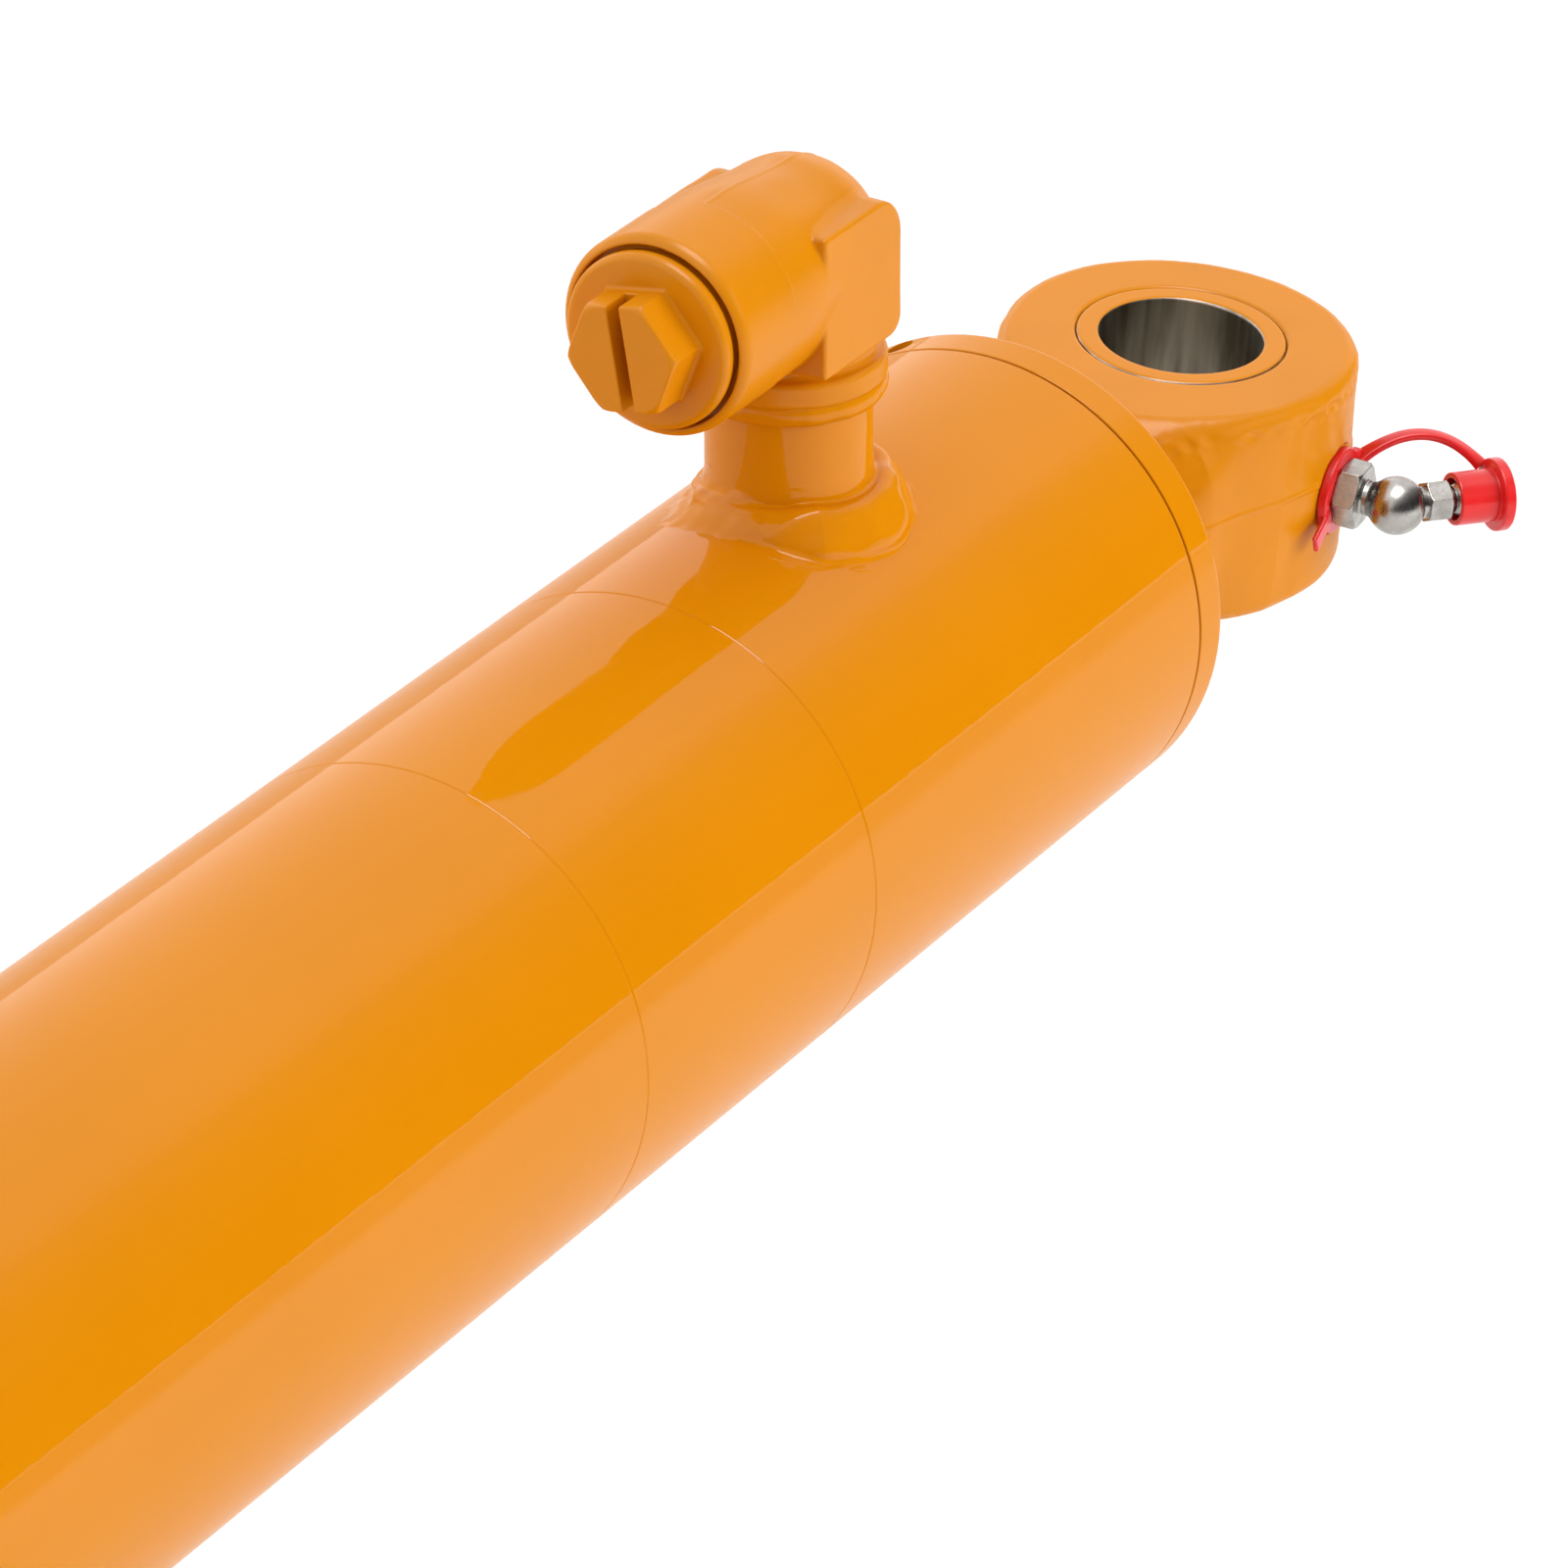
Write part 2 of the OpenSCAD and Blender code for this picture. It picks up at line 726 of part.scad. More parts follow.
module grease_cap(x, side) {
    color(plastic_red) fitting_frame(x, side) bent() turned([
        [3.9, cap_start], [cap_r - 0.3, cap_start], [cap_r, cap_start + 0.3],
        [cap_r, cap_end - cap_rim_t], [cap_rim_r, cap_end - cap_rim_t], [cap_rim_r, cap_end - 0.4],
        [cap_rim_r - 0.4, cap_end], [0, cap_end], [0, cap_end - 1.6], [3.9, cap_end - 1.6]
    ]);
}

// ---------------------------------------------------------------- nodes

barrel_tube();
barrel_head();
base_cap();
base_cap_weld();
base_eye();
base_eye_weld();
eye_bush(0, -1);  // base_eye_bush
gland();
gland_oring();
gland_backup_ring();
rod_bushing();
rod_seal();
buffer_seal();
wiper();
rod();
piston();
piston_seal();
seal_energizer();
wear_rings();
piston_oring();
piston_nut();
nut_set_screw();
rod_eye();
rod_eye_weld();
eye_bush(rod_eye_x, 1);  // rod_eye_bush
port_riser(rod_port_x, 180);  // rod_port_riser
port_weld(rod_port_x, 180);  // rod_port_weld
port_elbow(rod_port_x, 180);  // rod_port_elbow
port_collar_weld(rod_port_x, 180);  // rod_port_collar_weld
port_plug(rod_port_x, 180, 9.5);  // rod_port_plug
port_plug_oring(rod_port_x, 180);  // rod_port_plug_oring
port_riser(base_port_x, 0);  // base_port_riser
port_weld(base_port_x, 0);  // base_port_weld
port_elbow(base_port_x, 0);  // base_port_elbow
port_collar_weld(base_port_x, 0);  // base_port_collar_weld
port_plug(base_port_x, 0, 26);  // base_port_plug
port_plug_oring(base_port_x, 0);  // base_port_plug_oring
grease_adaptor(rod_eye_x, 1);  // rod_grease_adaptor
grease_nipple(rod_eye_x, 1);  // rod_grease_nipple
grease_ring(rod_eye_x, 1);  // rod_grease_ring
grease_strap(rod_eye_x, 1);  // rod_grease_strap
grease_cap(rod_eye_x, 1);  // rod_grease_cap
grease_adaptor(0, -1);  // base_grease_adaptor
grease_nipple(0, -1);  // base_grease_nipple
grease_ring(0, -1);  // base_grease_ring
grease_strap(0, -1);  // base_grease_strap
grease_cap(0, -1);  // base_grease_cap
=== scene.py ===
"""The looks of the hydraulic cylinder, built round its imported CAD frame. Sizes are in millimetres
until make() turns them into metres, and places are in the CAD's frame: X along the barrel from
the base eye's centre, Z along the pin bores."""
import math

import bpy
import numpy as np
from mathutils import Matrix, Vector


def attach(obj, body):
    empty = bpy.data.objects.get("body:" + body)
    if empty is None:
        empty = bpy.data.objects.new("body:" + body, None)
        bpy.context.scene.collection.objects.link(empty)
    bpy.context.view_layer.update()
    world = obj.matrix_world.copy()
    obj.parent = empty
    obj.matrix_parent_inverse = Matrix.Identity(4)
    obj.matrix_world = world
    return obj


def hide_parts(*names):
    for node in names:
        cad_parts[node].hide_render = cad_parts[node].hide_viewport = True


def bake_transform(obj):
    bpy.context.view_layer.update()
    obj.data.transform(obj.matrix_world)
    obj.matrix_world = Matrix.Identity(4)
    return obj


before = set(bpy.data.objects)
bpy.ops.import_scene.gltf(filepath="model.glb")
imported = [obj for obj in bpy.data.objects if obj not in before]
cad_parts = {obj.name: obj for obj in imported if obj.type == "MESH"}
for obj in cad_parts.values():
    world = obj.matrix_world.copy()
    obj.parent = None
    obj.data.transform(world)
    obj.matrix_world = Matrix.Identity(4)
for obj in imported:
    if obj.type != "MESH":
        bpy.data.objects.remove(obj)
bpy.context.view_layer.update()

COARSE = 1.0

# ------------------------------------------------------------------ sizes, as in the CAD

BARREL_R, BORE_R, ROD_R = 44.0, 35.0, 20.0
EYE_MID_R, EYE_HALF = 33.1, 21.0
PIN_R, BUSH_R = 15.0, 19.3
CAP_X, TUBE_X, SPIGOT_X = 40.0, 62.0, 75.0
FACE_X, ROD_EYE_X = 687.5, 750.0
FLANGE_X, STEP_X = FACE_X - 8.25, FACE_X - 38
GUIDE_R, SLEEVE_R, COLLAR_R = 20.4, 34.95, 37.95
NECK = 44.0
HEAD_X, BAND_X = FACE_X - 121.1, FACE_X - 193.2
ROD_PORT_X, BASE_PORT_X = FACE_X - 74.9, SPIGOT_X + 13
RISER_R, RISER_TOP, OUTLET_H, OUTLET_REACH = 14.25, 65.0, 90.0, 43.2
PORT_CLOCK = 4.8
NIPPLE_CLOCK, NIPPLE_Z = 84.0, -1.5
RING_SEAT, BALL_OUT = 32.2, 44.6
PLUG_SEAT = OUTLET_REACH - 0.6
PLUG_END = PLUG_SEAT + 11.0
BAR_R, BOSS_R, BOSS_X, PLUG_R = 15.7, 17.7, 26.5, 15.4
FOOT_SLOPE = 0.0875


# ------------------------------------------------------------------ shapes as distance fields

def fuse(a, b, r):
    """Two shapes joined, with a fillet of radius r between them."""
    return np.maximum(r, np.minimum(a, b)) - np.hypot(np.maximum(r - a, 0), np.maximum(r - b, 0))


def both(a, b, r):
    """Where two shapes overlap, its edge rounded to radius r."""
    return -fuse(-a, -b, r)


def minus(a, b, r):
    """Shape a with shape b cut out of it, the new edge rounded to radius r."""
    return both(a, -b, r)


def slab(h, low, high):
    return np.maximum(low - h, h - high)


def hexagon(y, z, flats):
    """A hexagon with flats towards z."""
    across = [np.abs(y * math.cos(a) + z * math.sin(a)) for a in np.radians([30, 90, 150])]
    return np.maximum(np.maximum(across[0], across[1]), across[2]) - flats / 2


def lumps(x, y, z, size, seed):
    """A smooth random value between about -1 and 1 that changes over that size."""
    rng = np.random.default_rng(seed)
    total = 0
    for _ in range(9):
        way = rng.normal(size=3)
        way *= rng.uniform(0.7, 1.5) * 2 * math.pi / size / np.linalg.norm(way)
        total = total + np.sin(x * way[0] + y * way[1] + z * way[2] + rng.uniform(0, 6.28))
    return total / 4


def net(shape, low, high, step):
    """The closed surface where shape is zero: its points, faces and normals."""
    step *= COARSE
    count = [int(math.ceil((b - a) / step)) + 1 for a, b in zip(low, high)]
    axes = [a + step * np.arange(n) for a, n in zip(low, count)]
    field = np.broadcast_to(shape(*np.meshgrid(*axes, indexing="ij", sparse=True)), count)
    field = field.astype(np.float32)
    inside = field < 0
    filled = np.zeros([n - 1 for n in count], np.int8)
    for i in (0, 1):
        for j in (0, 1):
            for k in (0, 1):
                filled += inside[i:count[0] - 1 + i, j:count[1] - 1 + j, k:count[2] - 1 + k]
    mixed = (filled > 0) & (filled < 8)
    cells = np.argwhere(mixed)
    index = np.full(mixed.shape, -1)
    index[mixed] = np.arange(len(cells))
    total, hits = np.zeros((len(cells), 3)), np.zeros((len(cells), 1))
    for axis in range(3):
        for p in (0, 1):
            for q in (0, 1):
                corner = np.zeros(3, int)
                corner[(axis + 1) % 3], corner[(axis + 2) % 3] = p, q
                a = cells + corner
                b = a.copy()
                b[:, axis] += 1
                fa, fb = field[tuple(a.T)].astype(float), field[tuple(b.T)].astype(float)
                hit = (fa < 0) != (fb < 0)
                point = np.tile(corner.astype(float), (hit.sum(), 1))
                point[:, axis] = fa[hit] / (fa[hit] - fb[hit])
                total[hit] += point
                hits[hit] += 1
    points = np.array(low) + step * (cells + total / hits)
    quads = []
    for axis in range(3):
        order = (axis, (axis + 1) % 3, (axis + 2) % 3)
        near, cell = np.transpose(inside, order), np.transpose(index, order)
        i, j, k = np.nonzero(near[:-1, 1:-1, 1:-1] != near[1:, 1:-1, 1:-1])
        quad = np.stack([cell[i, j, k], cell[i, j + 1, k], cell[i, j + 1, k + 1], cell[i, j, k + 1]], 1)
        back = ~near[i, j + 1, k + 1]
        quad[back] = quad[back][:, ::-1]
        quads.append(quad)
    quads = np.concatenate(quads)

    def slope(p):
        e = step * 0.25
        shifts = np.eye(3) * e
        return np.stack([(shape(*(p + s).T) - shape(*(p - s).T)) / (2 * e) for s in shifts], 1)

    for _ in range(3):
        g = slope(points)
        move = shape(*points.T)[:, None] * g / np.maximum((g * g).sum(1, keepdims=True), 0.1)
        points -= np.clip(move, -0.4 * step, 0.4 * step)
    normals = slope(points)
    normals /= np.maximum(np.linalg.norm(normals, axis=1, keepdims=True), 1e-9)
    return points, quads, normals


# ------------------------------------------------------------------ turned shapes

def rounded(corners, steps=4):
    """A closed profile of (x, r, corner radius) as rows of x, r and the outward normal."""
    rows, n = [], len(corners)
    for i, (cx, cr, radius) in enumerate(corners):
        c = np.array([cx, cr])
        before, after = c - np.array(corners[i - 1][:2]), np.array(corners[(i + 1) % n][:2]) - c
        la, lb = np.linalg.norm(before), np.linalg.norm(after)
        da, db = before / la, after / lb
        if cr == 0:
            way = db if corners[(i + 1) % n][1] > 0 else da
            rows.append([cx, 0, -way[1], way[0]])
            continue
        turn = math.acos(max(-1, min(1, float(da @ db))))
        cut = min(radius * math.tan(turn / 2) if turn < 3 else radius, 0.45 * la, 0.45 * lb)
        a, b = c - da * cut, c + db * cut
        for t in np.linspace(0, 1, steps + 1):
            p = (1 - t) ** 2 * a + 2 * t * (1 - t) * c + t * t * b
            way = (1 - t) * da + t * db
            way /= max(np.linalg.norm(way), 1e-9)
            rows.append([p[0], p[1], -way[1], way[0]])
    return rows


def lathe(corners, segments=192, steps=4):
    """The profile turned round the X axis: its points, faces and normals."""
    rows = rounded(corners, steps)
    angles = np.linspace(0, 2 * math.pi, segments, endpoint=False)
    points, normals, rings = [], [], []
    for x, r, nx, nr in rows:
        turns = angles if r > 0 else angles[:1]
        rings.append([len(points) + k for k in range(len(turns))])
        points += [(x, r * math.cos(t), r * math.sin(t)) for t in turns]
        normals += [(nx, nr * math.cos(t) if r > 0 else 0, nr * math.sin(t) if r > 0 else 0) for t in turns]
    faces = []
    for i, a in enumerate(rings):
        b = rings[(i + 1) % len(rings)]
        if len(a) == 1 and len(b) == 1:
            continue
        for k in range(segments):
            m = (k + 1) % segments
            if len(a) == 1:
                faces.append((a[0], b[m], b[k]))
            elif len(b) == 1:
                faces.append((a[k], a[m], b[0]))
            else:
                faces.append((a[k], a[m], b[m], b[k]))
    return np.array(points), faces, np.array(normals)


# ------------------------------------------------------------------ finishes

def noise(nodes, links, where, size, detail, stretch=(1, 1, 1)):
    """A noise pattern of that size in metres."""
    mapping = nodes.new("ShaderNodeMapping")
    mapping.inputs["Scale"].default_value = stretch
    links.new(where, mapping.inputs["Vector"])
    pattern = nodes.new("ShaderNodeTexNoise")
    pattern.inputs["Scale"].default_value = 1 / size
    pattern.inputs["Detail"].default_value = detail
    links.new(mapping.outputs["Vector"], pattern.inputs["Vector"])
    return pattern.outputs["Fac"]


def finish(name, light, dark, rough, metallic=0.0, coat=0.0, coat_rough=0.03, patch=0.02,
           grain=0.001, bump=0.00001, stretch=(1, 1, 1), level=0.5):
    """A finish whose colour drifts between two tints over patches, with a fine grain."""
    material = bpy.data.materials.new(name)
    material.use_nodes = True
    nodes, links = material.node_tree.nodes, material.node_tree.links
    shader = nodes["Principled BSDF"]
    shader.inputs["Metallic"].default_value = metallic
    shader.inputs["Specular IOR Level"].default_value = level
    shader.inputs["Coat Weight"].default_value = coat
    shader.inputs["Coat Roughness"].default_value = coat_rough
    where = nodes.new("ShaderNodeTexCoord").outputs["Object"]
    wide = noise(nodes, links, where, patch, 3, stretch)
    fine = noise(nodes, links, where, grain, 4, stretch)
    tint = nodes.new("ShaderNodeValToRGB")
    tint.color_ramp.elements[0].position, tint.color_ramp.elements[1].position = 0.35, 0.65
    tint.color_ramp.elements[0].color = (*dark, 1)
    tint.color_ramp.elements[1].color = (*light, 1)
    links.new(wide, tint.inputs["Fac"])
    links.new(tint.outputs["Color"], shader.inputs["Base Color"])
    spread = nodes.new("ShaderNodeMapRange")
    spread.inputs["To Min"].default_value, spread.inputs["To Max"].default_value = rough
    links.new(fine, spread.inputs["Value"])
    links.new(spread.outputs["Result"], shader.inputs["Roughness"])
    relief = nodes.new("ShaderNodeBump")
    relief.inputs["Distance"].default_value = bump
    relief.inputs["Strength"].default_value = 1
    links.new(fine, relief.inputs["Height"])
    links.new(relief.outputs["Normal"], shader.inputs["Normal"])
    links.new(relief.outputs["Normal"], shader.inputs["Coat Normal"])
    return material


PAINT = finish("paint", (0.64, 0.219, 0.0014), (0.625, 0.213, 0.001), (0.5, 0.56), coat=0.47,
               coat_rough=0.04, patch=0.05, grain=0.0022, bump=0.000012, level=0.0)
CAST_PAINT = finish("paint_on_forging", (0.64, 0.219, 0.0014), (0.61, 0.208, 0.001), (0.5, 0.6), coat=0.47,
                    coat_rough=0.27, patch=0.02, grain=0.0016, bump=0.00003, level=0.0)
STEEL = finish("bush_steel", (0.56, 0.52, 0.45), (0.24, 0.21, 0.16), (0.28, 0.42), metallic=1,
               patch=0.004, grain=0.0012, bump=0.00002, stretch=(1, 1, 0.12))
BRIGHT = finish("bright_steel", (0.43, 0.41, 0.385), (0.31, 0.295, 0.27), (0.2, 0.32), metallic=1,
                patch=0.003, grain=0.0006, bump=0.000008)
CHROME = finish("hard_chrome", (0.68, 0.69, 0.7), (0.6, 0.61, 0.62), (0.05, 0.1), metallic=1,
                patch=0.02, grain=0.0008, bump=0.000002, stretch=(0.2, 1, 1))
BLACK = finish("black_steel", (0.06, 0.055, 0.05), (0.03, 0.028, 0.026), (0.3, 0.45), metallic=1)
IRON = finish("piston_iron", (0.35, 0.34, 0.33), (0.24, 0.235, 0.23), (0.3, 0.42), metallic=1)
BRONZE = finish("bronze", (0.55, 0.36, 0.16), (0.42, 0.26, 0.1), (0.25, 0.38), metallic=1)
RUBBER = finish("black_rubber", (0.022, 0.022, 0.023), (0.014, 0.014, 0.015), (0.4, 0.55),
                bump=0.00003)
BLUE = finish("blue_polyurethane", (0.05, 0.16, 0.4), (0.04, 0.12, 0.32), (0.3, 0.4))
GREEN = finish("green_polyurethane", (0.05, 0.28, 0.12), (0.04, 0.22, 0.09), (0.3, 0.4))
PTFE = finish("filled_ptfe", (0.09, 0.085, 0.08), (0.06, 0.057, 0.054), (0.4, 0.5))
STRIP = finish("guide_strip", (0.3, 0.17, 0.07), (0.22, 0.12, 0.05), (0.45, 0.6))
RED = finish("red_plastic", (0.72, 0.012, 0.012), (0.65, 0.009, 0.009), (0.3, 0.4), patch=0.006,
             grain=0.0015, bump=0.00003, coat=0.3, coat_rough=0.08, level=0.3)


# ------------------------------------------------------------------ making pieces

def place(x=0.0, y=0.0, z=0.0):
    return Matrix.Translation((x, y, z))


def turn(degrees, axis):
    return Matrix.Rotation(math.radians(degrees), 4, axis)


def port_place(x, facing):
    """Z up the riser, X towards the outlet."""
    return place(x) @ turn(-PORT_CLOCK, "X") @ turn(facing, "Z")


def fitting_place(x, side):
    """X straight out of the eye, Y the way the fitting bends."""
    mirror = Matrix.Scale(side, 4, (1, 0, 0))
    return place(x, 0, NIPPLE_Z) @ mirror @ turn(-NIPPLE_CLOCK, "Z")


def bent_place(x, side):
    return fitting_place(x, side) @ place(BALL_OUT) @ turn(45, "Z")


def make(name, form, material, body, at=Matrix.Identity(4), ridden=True):
    """The piece of that form, moving with body and standing for the CAD node it is named after."""
    points, faces, normals = form
    m = np.array(at)
    points = points @ m[:3, :3].T + m[:3, 3]
    normals = normals @ m[:3, :3].T
    if np.linalg.det(m[:3, :3]) < 0:
        faces = [tuple(f)[::-1] for f in faces] if isinstance(faces, list) else faces[:, ::-1]
    mesh = bpy.data.meshes.new(name)
    if isinstance(faces, list):
        mesh.from_pydata((points / 1000).tolist(), [], faces)
    else:
        mesh.vertices.add(len(points))
        mesh.vertices.foreach_set("co", (points / 1000).ravel())
        mesh.loops.add(faces.size)
        mesh.loops.foreach_set("vertex_index", np.ascontiguousarray(faces).ravel())
        mesh.polygons.add(len(faces))
        mesh.polygons.foreach_set("loop_start", np.arange(0, faces.size, 4))
    mesh.update(calc_edges=True)
    mesh.shade_smooth()
    mesh.normals_split_custom_set_from_vertices(normals.tolist())
    mesh.materials.append(material)
    piece = bpy.data.objects.new(name, mesh)
    bpy.context.scene.collection.objects.link(piece)
    if ridden:
        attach(piece, body)
    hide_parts(name.replace("_looks", ""))
    return piece


def painted(name, form, body="barrel", at=Matrix.Identity(4), material=PAINT):
    return make(name + "_looks", form, material, body, at)


# ------------------------------------------------------------------ barrel and gland

painted("barrel_tube", lathe([
    (TUBE_X, BORE_R, 0.2), (TUBE_X, BARREL_R - 4, 0.2), (TUBE_X + 4, BARREL_R, 0.3),
    (BAND_X - 0.3, BARREL_R, 0.15), (BAND_X - 0.05, BARREL_R - 0.13, 0.05),
    (BAND_X + 0.05, BARREL_R - 0.13, 0.05), (BAND_X + 0.3, BARREL_R, 0.15),
    (HEAD_X - 0.3, BARREL_R, 0.15), (HEAD_X - 0.05, BARREL_R - 0.15, 0.05),
    (HEAD_X, BARREL_R - 0.15, 0.02), (HEAD_X, BORE_R, 0.1),
], 288))
painted("barrel_head", lathe([
    (HEAD_X, BORE_R, 0.1), (HEAD_X, BARREL_R - 0.15, 0.02), (HEAD_X + 0.05, BARREL_R - 0.15, 0.05),
    (HEAD_X + 0.3, BARREL_R, 0.15), (FLANGE_X, BARREL_R, 0.35), (FLANGE_X, COLLAR_R + 0.05, 0.2),
    (STEP_X, COLLAR_R + 0.05, 0.3), (STEP_X, BORE_R, 0.3),
], 288))
painted("base_cap", lathe([
    (CAP_X, 0, 0), (CAP_X, BARREL_R, 1.8), (TUBE_X - 4, BARREL_R, 0.3), (TUBE_X, BARREL_R - 4, 0.3),
    (TUBE_X, BORE_R - 0.05, 0.3), (SPIGOT_X, BORE_R - 0.05, 1.6), (SPIGOT_X, 0, 0),
], 288))

# the outside of the gland from its inner end to its face, then the grooves along its bore
gland_form = lathe([
    (FACE_X - 84, GUIDE_R, 0.4), (FACE_X - 84, 29, 1), (FACE_X - 58, 29, 0.5), (FACE_X - 58, SLEEVE_R, 1),
    (FACE_X - 53, SLEEVE_R, 0.2), (FACE_X - 53, 31.4, 0.3), (FACE_X - 46, 31.4, 0.3),
    (FACE_X - 46, SLEEVE_R, 0.2), (STEP_X, SLEEVE_R, 0.3), (STEP_X, COLLAR_R, 0.8),
    (FLANGE_X, COLLAR_R, 0.2), (FLANGE_X, BARREL_R - 2.4, 0.1),
    (FLANGE_X + 0.5, BARREL_R - 2.4, 0.05), (FLANGE_X + 0.5, BARREL_R, 0.3),
    (FACE_X, BARREL_R, 1.1), (FACE_X, 25, 0.4), (FACE_X - 6.5, 25, 0.2), (FACE_X - 6.5, GUIDE_R, 0.2),
    (FACE_X - 14, GUIDE_R, 0.2), (FACE_X - 14, 25, 0.3), (FACE_X - 24, 25, 0.3),
    (FACE_X - 24, GUIDE_R, 0.2), (FACE_X - 30, GUIDE_R, 0.2), (FACE_X - 30, 24.5, 0.3),
    (FACE_X - 37, 24.5, 0.3), (FACE_X - 37, GUIDE_R, 0.2), (FACE_X - 52, GUIDE_R, 0.2),
    (FACE_X - 52, 22, 0.2), (FACE_X - 80, 22, 0.2), (FACE_X - 80, GUIDE_R, 0.2),
], 288, 3)
gland = painted("gland", gland_form)


def hole_form(r, low, high):
    return lathe([(low, 0, 0), (low, r, 0.3), (high, r, 0.01), (high, 0, 0)], 48, 2)


def carve(piece, form, at):
    """Cuts a hole of that form out of a turned piece."""
    points, faces, _ = form
    m = np.array(at)
    mesh = bpy.data.meshes.new("cutter")
    mesh.from_pydata(((points @ m[:3, :3].T + m[:3, 3]) / 1000).tolist(), [], faces)
    cutter = bpy.data.objects.new("cutter", mesh)
    bpy.context.scene.collection.objects.link(cutter)
    step = piece.modifiers.new("hole", "BOOLEAN")
    step.operation, step.object, step.solver = "DIFFERENCE", cutter, "EXACT"
    bpy.context.view_layer.update()
    done = bpy.data.meshes.new_from_object(piece.evaluated_get(bpy.context.evaluated_depsgraph_get()))
    piece.modifiers.clear()
    piece.data = done
    bpy.data.objects.remove(cutter)


# the holes for a pin spanner
for clock in (31, 211):
    carve(gland, hole_form(2.75, BARREL_R - 11, BARREL_R + 3),
          place(FACE_X - 4.02) @ turn(-clock, "X") @ turn(-90, "Y"))

make("wiper_looks", lathe([
    (FACE_X - 6.4, 20.65, 0.2), (FACE_X - 6.4, 24.98, 0.3), (FACE_X - 0.6, 24.98, 0.3),
    (FACE_X - 0.6, 22.6, 0.2), (FACE_X + 1.4, 21.4, 0.3), (FACE_X + 1.4, 20.05, 0.1),
    (FACE_X - 1, 20.65, 0.2),
]), RUBBER, "barrel")

# ------------------------------------------------------------------ rod

make("rod_looks", lathe([
    (79, 0, 0), (79, 13.5, 1), (101, 13.5, 0.1), (101, 14, 0.1), (146, 14, 0.2), (146, ROD_R, 1.2),
    (ROD_EYE_X - NECK, ROD_R, 0.1), (ROD_EYE_X - NECK, 0, 0),
], 192), CHROME, "rod_assembly")


# ------------------------------------------------------------------ pin eyes

def eye_shape(side):
    """A forged eye at the origin, in its own frame: x points away from the cylinder."""
    way = math.radians(-NIPPLE_CLOCK)
    out, along = (math.cos(way), math.sin(way)), (-math.sin(way), math.cos(way))

    def shape(x, y, z):
        rough = lumps(x, y, z, 9, 4) * 0.07 + lumps(x, y, z, 3.2, 5) * 0.025
        # a torn line under the top edge, on one side
        rough = rough + lumps(x, y, z, 3.6, 6) * 0.28 * np.exp(-((z - 17.3) / 1.5) ** 2) * (y < 0)
        rho = np.hypot(x, y)
        blank = rho - (EYE_MID_R - 0.15 - 0.02 * np.abs(z))
        if side > 0:
            s = np.hypot(y, z)
            sides = (np.abs(y) - (23 + (x + NECK) * 0.159)) * 0.987
            back = np.interp(x, [-NECK, -38, -31, -11, 0], [20.8, 20.8, 26.5, 36, 41])
            neck = both(sides, (s - back) * 0.86, 2.0)
            neck = np.maximum(both(neck, -NECK - x, 1.2), x + 2)
            body = fuse(blank, neck, 5 * np.clip((-4 - x) / 10, 0.1, 1))
        else:
            foot = (np.abs(y) - (29.5 - FOOT_SLOPE * x)) * 0.996
            foot = both(foot, np.abs(z) - 19.5, 1.6)
            foot = np.maximum(np.maximum(foot, -CAP_X - x), x + 2)
            body = fuse(blank, foot, 3)
        u, w = x * out[0] + y * out[1], x * along[0] + y * along[1]
        around = np.hypot(w, z - NIPPLE_Z)
        # forging flash near the middle
        body = body + rough - 0.35 * np.exp(-((z - 2.4) / 0.5) ** 2)
        body = both(body, z - EYE_HALF, 2.8 if side > 0 else 1.6)
        body = both(body, -z - EYE_HALF, 3.2 if side > 0 else 1.6)
        # spot face and hole for the grease fitting
        body = minus(body, np.maximum(around - 8.6, RING_SEAT - u), 0.25)
        body = minus(body, np.maximum(around - 5, RING_SEAT - 10 - u), 0.2)
        return minus(body, rho - BUSH_R, 0.9)

    return shape


for side, x, name, body in ((1, ROD_EYE_X, "rod_eye", "rod_assembly"), (-1, 0, "base_eye", "barrel")):
    form = net(eye_shape(side), (-46, -37, -22.5), (36, 36, 22.5), 0.42)
    painted(name, form, body, place(x) @ Matrix.Scale(side, 4, (1, 0, 0)), CAST_PAINT)
    bush = lathe([(-EYE_HALF, PIN_R, 0.9), (-EYE_HALF, BUSH_R - 0.02, 0.9),
                  (EYE_HALF, BUSH_R - 0.02, 0.9), (EYE_HALF, PIN_R, 0.9)], 160)
    piece = make(name + "_bush_looks", bush, STEEL, body, place(x) @ turn(-90, "Y"))
    # the bush's two faces are painted over
    piece.data.materials.append(PAINT)
    for face in piece.data.polygons:
        if abs(face.center.z) > (EYE_HALF - 0.2) / 1000:
            face.material_index = 1


# ------------------------------------------------------------------ welds

def ring_bead(at_x, r, reach, seed, height=1.2):
    """A weld bead that runs round the X axis on radius r, rippled by the passes of the torch."""
    def shape(x, y, z):
        s, a = np.hypot(y, z), np.arctan2(z, y)
        ripple = 0.09 * np.sin(a * r / 0.42 + 1.2 * np.sin(a * 7 + seed))
        ripple = ripple * np.clip(1 - ((x - at_x) / reach) ** 2, 0, 1)
        wander = lumps(x, y, z, 14, seed) * 0.25
        flat = ((x - at_x - wander) / reach) ** 2
        top = r + height * np.clip(1 - flat, -2, 1) + ripple + lumps(x, y, z, 5, seed + 1) * 0.08
        return both((s - top) * 0.8, np.maximum(np.abs(x - at_x) - reach, r - 3.5 - s), 0.2)
    return shape


